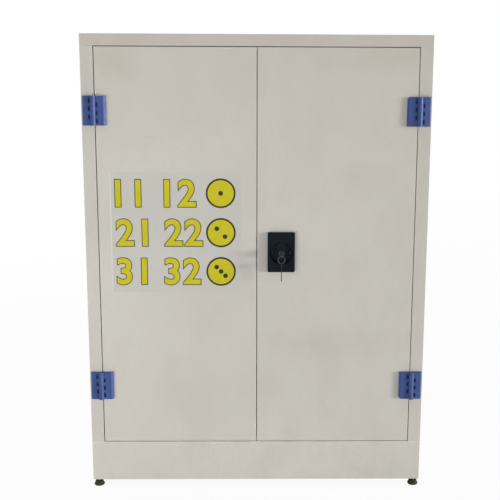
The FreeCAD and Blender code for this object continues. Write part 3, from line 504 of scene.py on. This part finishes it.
zinc_plate = Finish("zinc_plate", Metallic=1.0)
zinc_plate.show("Base Color", zinc_plate.mixed(
    zinc_plate.spread(zinc_plate.noise(240, 4.0), 0.35, 0.65), zinc_dull, zinc_bright))
zinc_plate.show("Roughness", zinc_plate.spread(zinc_plate.noise(300), 0.3, 0.7, 0.24, 0.42))
zinc_plate.relief(zinc_plate.noise(1400), 0.00008, 0.4)

for row in ("front", "back"):
    for side in ("left", "right"):
        name = f"foot_{row}_{side}"
        low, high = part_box(name)
        centre = Vector(((low.x + high.x) / 2, (low.y + high.y) / 2, low.z))
        pad_work = bmesh.new()
        turned(pad_work, centre, [(r * mm, z * mm) for r, z in pad_outline])
        hexagon_collar(pad_work, centre, collar_reach * mm, collar_foot * mm,
                       collar_top * mm, collar_bevel * mm)
        new_piece(name + "_pad", pad_work, foot_plastic.material, f"{row}_{side}_foot",
                  covers=(name,))
        stud_work = bmesh.new()
        thread = [(stud_core * mm, (collar_top - stud_overlap) * mm)]
        level = thread_start
        while level * mm < high.z - low.z - thread_clear * mm:
            thread.append((stud_core * mm, level * mm))
            thread.append((stud_crest * mm, (level + thread_rise * 0.5) * mm))
            level += thread_rise
        thread.append((stud_core * mm, level * mm))
        thread.append((stud_core * stud_tip * mm, high.z - low.z))
        turned(stud_work, centre, thread, stud_sides)
        new_piece(name + "_stud", stud_work, zinc_plate.material, f"{row}_{side}_foot",
                  25)

# Three lipped spill trays slide on the ledges. They are folded and welded from a whiter
# grade, with a turned-down lip along the front to pull on.
tray_pale = paint(206, 204, 198)
tray_deep = paint(196, 194, 187)
# The trays also darken toward the top with this colour: painted shade.
tray_dust_and_shade = paint(184, 180, 170)
tray_fold = 0.0012
fold_steps = 3
tray_plastic = sheet_finish("tray_plastic", tray_pale, tray_deep, tray_dust_and_shade)
for number, body in ((1, "tray_low"), (2, "tray_middle"), (3, "tray_high")):
    eased(f"spill_tray_{number}", body, tray_fold, tray_plastic, fold_steps)

# Each door is one face sheet with a ring of strips welded behind it to keep it flat. The
# faces carry a few brown patches and a thin grey smear. The brown patch at the left door's top
# corner is painted shade, as is the darkening of each face toward the top.
door_pale = paint(205, 201, 192)
door_deep = paint(199, 195, 187)
door_dust_and_shade = paint(191, 186, 176)
# Brown for the door patches; at the left door's top corner it is painted shade.
brown_patch_and_shade = paint(176, 168, 152)
stain_grey = paint(182, 180, 174)
door_edge = 0.0004
left_marks = (((-0.36, front_y, 1.15), (0.10, 0.1, 0.08), brown_patch_and_shade, 0.4),
              ((-0.27, front_y, 0.96), (0.03, 0.1, 0.004), stain_grey, 0.8),
              ((-0.05, front_y, 0.60), (0.05, 0.1, 0.05), brown_patch_and_shade, 0.25))
right_marks = (((0.33, front_y, 1.165), (0.22, 0.1, 0.06), brown_patch_and_shade, 0.25),
               ((0.27, front_y, 0.85), (0.11, 0.1, 0.09), brown_patch_and_shade, 0.22),
               ((0.2, front_y, 0.41), (0.34, 0.1, 0.07), brown_patch_and_shade, 0.2))
for side, marks in (("left", left_marks), ("right", right_marks)):
    door_sheet = sheet_finish(f"door_sheet_{side}", door_pale, door_deep, door_dust_and_shade, marks)
    eased(f"door_skin_{side}", f"{side}_door", door_edge, door_sheet)
    eased(f"door_frame_{side}", f"{side}_door", sawn_edge, body_sheet)

# A clear film is stuck on the left door and printed as a shelf index: rows of plain
# numbers in yellow with a dark outline, and a round spot counter at the end of each row.
film_left, film_right = -0.383, -0.0415
film_low, film_high = 0.5515, 0.869
film_thick = 0.00018
film_corner = 0.006
ink_dark_rise = 0.00005
ink_yellow_rise = 0.0001
ink_dot_rise = 0.00015
figure_height = 0.067
figure_bold = 0.0022
figure_outline = 0.0043
figure_left = film_left + 0.016
figure_spacing = 1.08
word_spacing = 0.7
spot_radius = 0.039
spot_rim = 0.0048
spot_middle_x = film_right - 0.053
row_middles = (0.815, 0.711, 0.607)
row_figures = ("11 12", "21 22", "31 32")
dot_radius = 0.0062
dot_spread = 0.62
film_pale = paint(197, 194, 186)
film_deep = paint(193, 190, 182)
film_glint = paint(216, 215, 210)
glint_reach = (0.0035, 1, 1)
dot_places = (((0, 0),), ((-0.5, 0.5), (0.5, -0.5)), ((-0.55, 0.55), (0, 0), (0.55, -0.55)))
face_axes = (right, upright, forward)


def slab(work, outline, low_y, high_y):
    """A flat layer with an outline of (x, z), from one depth to another."""
    near = [work.verts.new((x, high_y, z)) for x, z in outline]
    far = [work.verts.new((x, low_y, z)) for x, z in outline]
    work.faces.new(near)
    work.faces.new(list(reversed(far)))
    for k in range(len(outline)):
        after = (k + 1) % len(outline)
        work.faces.new((near[k], far[k], far[after], near[after]))


def rounded(low_x, high_x, low_z, high_z, corner, steps=6):
    """A rectangle's outline with its corners rounded."""
    points = []
    for number, (x, z) in enumerate(((high_x - corner, high_z - corner),
                                     (low_x + corner, high_z - corner),
                                     (low_x + corner, low_z + corner),
                                     (high_x - corner, low_z + corner))):
        for step in range(steps + 1):
            turn = math.pi / 2 * (number + step / steps)
            points.append((x + corner * math.cos(turn), z + corner * math.sin(turn)))
    return points


def figures(work, text, left_x, middle_z, grow, rise):
    """Raised figures on the film, as high as figure_height, grown by an outline."""
    words = bpy.data.curves.new("figures", "FONT")
    words.body = text
    words.resolution_u = 6
    words.space_character = figure_spacing
    words.space_word = word_spacing
    holder = bpy.data.objects.new("figures", words)
    bpy.context.scene.collection.objects.link(holder)
    bpy.context.view_layer.update()
    start = min(point[0] for point in holder.bound_box)
    foot = min(point[1] for point in holder.bound_box)
    scale = figure_height / (max(point[1] for point in holder.bound_box) - foot)
    words.offset = grow / scale
    words.extrude = rise / scale / 2
    bpy.context.view_layer.update()
    drawn = holder.evaluated_get(bpy.context.evaluated_depsgraph_get())
    mesh = bpy.data.meshes.new_from_object(drawn)
    bpy.data.objects.remove(holder)
    added = len(work.verts)
    work.from_mesh(mesh)
    bpy.data.meshes.remove(mesh)
    work.verts.ensure_lookup_table()
    for vert in work.verts[added:]:
        x, y, z = vert.co
        vert.co = ((x - start) * scale + left_x, front_y - film_thick - rise / 2 - z * scale,
                   (y - foot) * scale + middle_z - figure_height / 2)


film_work = bmesh.new()
slab(film_work, rounded(film_left, film_right, film_low, film_high, film_corner),
     front_y, front_y - film_thick)
film = Finish("index_film", Specular_IOR_Level=0.4)
film_left_edge = film.near((film_left, front_y, (film_low + film_high) / 2), glint_reach)
film_base = film.mixed(film.spread(film.noise(6, 3.0), 0.3, 0.7), film_deep, film_pale)
film.show("Base Color", film.mixed(film_left_edge, film_base, film_glint))
film.show("Roughness", film.spread(film.noise(40, 3.0), 0.3, 0.7, 0.34, 0.46))
film.relief(film.noise(26, 3.0), 0.0002, 0.3)
new_piece("index_film", film_work, film.material, "left_door")


def ink(name, deep, pale, rough):
    """Screen-printed ink, a little uneven in thickness and shine."""
    made = Finish(name, Specular_IOR_Level=0.4)
    made.show("Base Color", made.mixed(made.spread(made.noise(45, 4.0), 0.3, 0.7), deep, pale))
    made.show("Roughness", made.spread(made.noise(150, 3.0), 0.3, 0.7, rough, rough + 0.12))
    made.relief(made.noise(1800, 2.0), 0.00002, 0.4)
    return made.material


dark_ink = ink("dark_ink", paint(46, 44, 24), paint(58, 55, 30), 0.42)
yellow_ink = ink("yellow_ink", paint(193, 183, 22), paint(200, 190, 34), 0.4)
disc_sides = 64
dot_sides = 32
outline_work = bmesh.new()
figure_work = bmesh.new()
ring_print = bmesh.new()
spot_work = bmesh.new()
dot_work = bmesh.new()
for middle, text, dots in zip(row_middles, row_figures, dot_places):
    figures(outline_work, text, figure_left, middle, figure_outline, ink_dark_rise)
    figures(figure_work, text, figure_left, middle, figure_bold, ink_yellow_rise)
    hub = Vector((spot_middle_x, front_y - film_thick, middle))
    turned(ring_print, hub, [(0, 0), (spot_radius, 0), (spot_radius, ink_dark_rise),
                             (0, ink_dark_rise)], disc_sides, face_axes)
    inner = spot_radius - spot_rim
    turned(spot_work, hub, [(0, 0), (inner, 0), (inner, ink_yellow_rise),
                            (0, ink_yellow_rise)], disc_sides, face_axes)
    for across, lift in dots:
        at = hub + (right * across + upright * lift) * (inner * dot_spread)
        turned(dot_work, at, [(0, 0), (dot_radius, 0), (dot_radius, ink_dot_rise),
                              (0, ink_dot_rise)], dot_sides, face_axes)
for name, work, colour in (("index_outlines", outline_work, dark_ink),
                           ("index_figures", figure_work, yellow_ink),
                           ("index_rings", ring_print, dark_ink),
                           ("index_spots", spot_work, yellow_ink),
                           ("index_dots", dot_work, dark_ink)):
    bmesh.ops.remove_doubles(work, verts=work.verts[:], dist=1e-6)
    new_piece(name, work, colour, "left_door")

# Four hinges moulded in blue plastic. Each is two leaves that share a barrel, a pin
# through it, screws, and a cap snapped over each leaf to hide them.
blue_deep = paint(38, 65, 126)
blue_pale = paint(48, 77, 144)
pin_deep = paint(44, 58, 108)
pin_pale = paint(56, 72, 126)
leaf_edge = 0.0006
cover_edge = 0.0003
cover_angle = 20
pin_edge = 0.0002
screw_edge = 0.0003


def moulded(name, deep, pale, rough_low, rough_high, shine=0.5, grain=1200, depth=0.00006):
    """Moulded plastic: slight flow marks, a fine spark-eroded grain."""
    made = Finish(name, Specular_IOR_Level=shine)
    flow = made.spread(made.noise(70, 4.0, (1, 1, 0.3)), 0.3, 0.7)
    made.show("Base Color", made.mixed(flow, deep, pale))
    made.show("Roughness", made.spread(made.noise(120, 3.0), 0.3, 0.7, rough_low, rough_high))
    made.relief(made.noise(grain, 2.0), depth, 0.6)
    return made.material


hinge_plastic = moulded("hinge_plastic", blue_deep, blue_pale, 0.48, 0.6, 0.9)
pin_plastic = moulded("pin_plastic", pin_deep, pin_pale, 0.3, 0.42)
for level in ("upper", "lower"):
    for side in ("left", "right"):
        eased(f"hinge_door_leaf_{level}_{side}", f"{side}_door", leaf_edge,
              hinge_plastic)
        eased(f"hinge_frame_leaf_{level}_{side}", "cabinet", leaf_edge,
              hinge_plastic)
for side in ("left", "right"):
    eased(f"hinge_door_covers_{side}", f"{side}_door", cover_edge,
          hinge_plastic, sharp=cover_angle)
eased("hinge_frame_covers", "cabinet", cover_edge, hinge_plastic,
      sharp=cover_angle)
eased("hinge_pins", "cabinet", pin_edge, pin_plastic)


def metal(name, deep, pale, rough_low, rough_high, stretch=(1, 1, 0.06)):
    """Drawn or plated metal with fine lines along it and a few handling marks."""
    made = Finish(name, Metallic=1.0)
    lines = made.noise(900, 3.0, stretch)
    marks = made.noise(120, 5.0)
    made.show("Base Color", made.mixed(made.spread(marks, 0.35, 0.7), pale, deep))
    worn = made.maths(lines, marks, "MULTIPLY")
    made.show("Roughness", made.spread(worn, 0.1, 0.45, rough_low, rough_high))
    made.relief(lines, 0.00004, 0.5)
    return made.material


screw_steel = metal("screw_steel", paint(150, 149, 146), paint(196, 195, 192), 0.22, 0.4)
for side in ("left", "right"):
    eased(f"hinge_door_screws_{side}", f"{side}_door", screw_edge,
          screw_steel)
eased("hinge_frame_screws", "cabinet", screw_edge, screw_steel)

# The lock: a satin black plate screwed through the door, a grip turning in its dish, and
# the cylinder in the grip's middle with the plug that takes the key.
plate_deep = paint(7, 16, 21)
plate_pale = paint(11, 21, 27)
bar_black = paint(10, 20, 32)
lobe_deep = paint(16, 29, 41)
lobe_pale = paint(24, 38, 54)
lobe_rise = 0.004
lock_grain = 1500
lock_edge = 0.0004
cylinder_edge = 0.0003
lock_angle = 25
lock_moulding = moulded("lock_moulding", plate_deep, plate_pale, 0.4, 0.55, 0.2, lock_grain)
grip_moulding = Finish("grip_moulding", Specular_IOR_Level=0.2)
grip_depth = grip_moulding.add("SeparateXYZ", sockets={
    "Vector": grip_moulding.place}).outputs["Y"]
grip_lobes = grip_moulding.spread(grip_depth, front_y - lobe_rise, front_y)
grip_moulding.show("Base Color", grip_moulding.mixed(
    grip_lobes, bar_black,
    grip_moulding.mixed(grip_moulding.noise(70), lobe_deep, lobe_pale)))
grip_moulding.show("Roughness", grip_moulding.spread(
    grip_moulding.noise(120), 0.3, 0.7, 0.4, 0.55))
grip_moulding.relief(grip_moulding.noise(lock_grain, 2.0), 0.00006, 0.6)
eased("lock_plate", "right_door", lock_edge, lock_moulding, sharp=lock_angle)
eased("turn_grip", "grip", lock_edge, grip_moulding.material,
      sharp=lock_angle)
lobe_y = front_y + 2.6 * mm
pip_out = 23.5 * mm
pip_high = 8 * mm
pip_wide = 2.2 * mm
pip_proud = 0.9 * mm
grip_low, grip_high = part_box("turn_grip")
grip_x = (grip_low.x + grip_high.x) / 2
grip_z = (grip_low.z + grip_high.z) / 2
# Two small pips stand on the grip's lobes. Their pale grey is a painted highlight, standing in
# for glints on the dish.
pip_work = bmesh.new()
for way in (-1, 1):
    pip = bmesh.ops.create_uvsphere(pip_work, u_segments=20, v_segments=12, radius=0.5)
    spot = Vector((grip_x + way * pip_out, lobe_y, grip_z))
    for vert in pip["verts"]:
        vert.co = spot + Vector((vert.co.x * pip_wide, vert.co.y * 2 * pip_proud,
                                 vert.co.z * pip_high))
pip_painted_highlight = moulded("pip_painted_highlight", paint(96, 99, 106), paint(116, 119, 126), 0.3, 0.4)
new_piece("grip_pips", pip_work, pip_painted_highlight, "grip")
lock_chrome = metal("lock_chrome", paint(74, 74, 78), paint(112, 112, 116), 0.3, 0.45, (1, 1, 1))
eased("lock_cylinder", "grip", cylinder_edge, lock_chrome)
eased("lock_plug", "key_and_plug", cylinder_edge, lock_chrome)

# Behind the door the spindle turns a pinion between two racked rods, inside a moulded
# case. Slotted blocks keep the rods straight, and two hand bolts hold the other door.
rod_edge = 0.00025
case_edge = 0.0008
rod_steel = metal("rod_steel", paint(146, 147, 148), paint(188, 188, 187), 0.26, 0.42)
for name, body in (("spindle", "grip"), ("pinion", "grip"), ("upper_rod", "rod_up"),
                   ("lower_rod", "rod_down"), ("slide_bolt_upper", "bolt_up"),
                   ("slide_bolt_lower", "bolt_down")):
    eased(name, body, rod_edge, rod_steel)
eased("lock_case", "right_door", case_edge, lock_moulding)
eased("lock_case_screws", "right_door", screw_edge, screw_steel)
eased("rod_guides", "right_door", sawn_edge, body_sheet)
eased("bolt_housings", "left_door", sawn_edge, body_sheet)

# A flat nickel-plated key stays in the plug. A split ring through its bow carries the
# second key, which hangs straight down.
key_edge = 0.0003
# Both keys are coloured well below bare nickel: painted shade for the dark surroundings they
# reflect.
key_metal_painted_shade = metal("key_metal_painted_shade", paint(66, 66, 64), paint(100, 99, 96), 0.28, 0.44)
eased("key", "key_and_plug", key_edge, key_metal_painted_shade)
eased("spare_key", "hanging_key", key_edge, key_metal_painted_shade)
ring_steel = metal("ring_steel", paint(96, 95, 94), paint(140, 139, 136), 0.26, 0.42)
ring_low, ring_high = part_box("key_ring")
ring_centre = (ring_low + ring_high) / 2
ring_wire = 0.75 * mm
ring_flat = 0.32 * mm
ring_turns = 2
ring_mean = (ring_high.z - ring_low.z) / 2 - ring_wire
ring_lead = 0.66 * mm
ring_steps = 90
wire_sides = 10

ring_work = bmesh.new()
last = None
for number in range(ring_turns * ring_steps + 1):
    turn = 2 * math.pi * number / ring_steps + math.pi / 2
    shift = (number / (ring_turns * ring_steps) - 0.5) * ring_lead * ring_turns
    out = Vector((math.cos(turn), 0, math.sin(turn)))
    centre = ring_centre + out * ring_mean + backward * shift
    spoke = []
    for k in range(wire_sides):
        angle = 2 * math.pi * k / wire_sides
        spoke.append(ring_work.verts.new(
            centre + out * (ring_wire * math.cos(angle))
            + backward * (ring_flat * math.sin(angle))))
    if last:
        for k in range(wire_sides):
            after = (k + 1) % wire_sides
            ring_work.faces.new((last[k], last[after], spoke[after], spoke[k]))
    else:
        ring_work.faces.new(spoke)
    last = spoke
ring_work.faces.new(list(reversed(last)))
new_piece("split_ring", ring_work, ring_steel, "ring", covers=("key_ring",))
